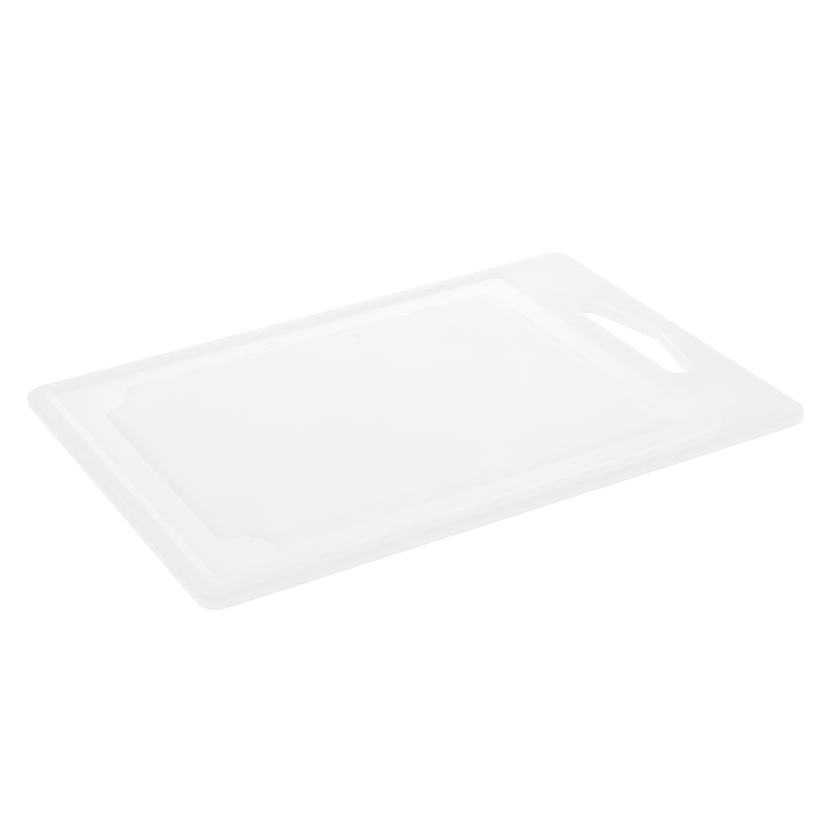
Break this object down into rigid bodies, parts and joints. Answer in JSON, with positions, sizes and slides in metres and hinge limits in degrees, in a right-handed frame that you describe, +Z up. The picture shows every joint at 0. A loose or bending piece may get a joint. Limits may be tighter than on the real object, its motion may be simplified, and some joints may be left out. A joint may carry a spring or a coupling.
{
  "type": "cutting board",
  "caption": "White one-piece polyethylene cutting board with a raised pad, a juice trough round it, scooped pouring corners and a hand slot at one end.",
  "frame": {"origin": "centre of the flat underside", "axes": "+X along the board towards the grip end, +Y across the board, +Z up out of the cutting face"},
  "size_m": [0.34, 0.24, 0.008],
  "materials": {
    "board_plastic": "fine matt moulded high-density polyethylene, smoother in the trough"
  },
  "bodies": {
    "root": {"board": "board_plastic"}
  },
  "joints": []
}
